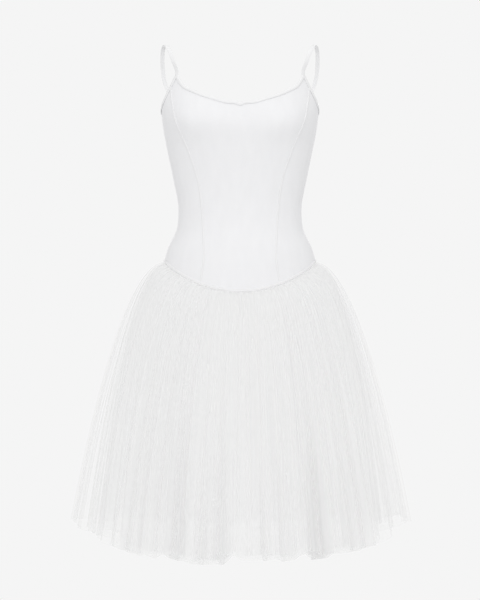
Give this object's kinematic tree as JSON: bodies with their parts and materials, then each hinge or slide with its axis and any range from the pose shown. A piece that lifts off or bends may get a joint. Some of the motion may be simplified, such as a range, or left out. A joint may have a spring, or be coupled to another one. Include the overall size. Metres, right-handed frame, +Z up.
{
  "type": "long tutu",
  "caption": "Long white ballet tutu with a camisole bodice on thin shoulder straps, a curved basque seam and a full gathered net skirt.",
  "frame": {"origin": "midway between the undersides of the two strap tops, where the shoulders carry the dress", "axes": "+Z up, the dress's front faces -Y, and +X is the wearer's left"},
  "size_m": [0.6738, 0.6312, 1.0009],
  "materials": {
    "jersey": "smooth matt stretch jersey, cool white",
    "binding": "soft white elastic binding with a faint sheen",
    "net": "sheer matt white net in gathered layers"
  },
  "bodies": {
    "root": {"front_panel": "jersey", "side_front_left": "jersey", "side_front_right": "jersey", "back_panel": "jersey", "neck_binding_front": "binding", "neck_binding_back": "binding", "armhole_binding_left": "binding", "armhole_binding_right": "binding", "basque_piping": "binding", "strap_left": "binding", "strap_right": "binding", "net_outer": "net", "net_middle": "net", "net_inner": "net"}
  },
  "joints": []
}
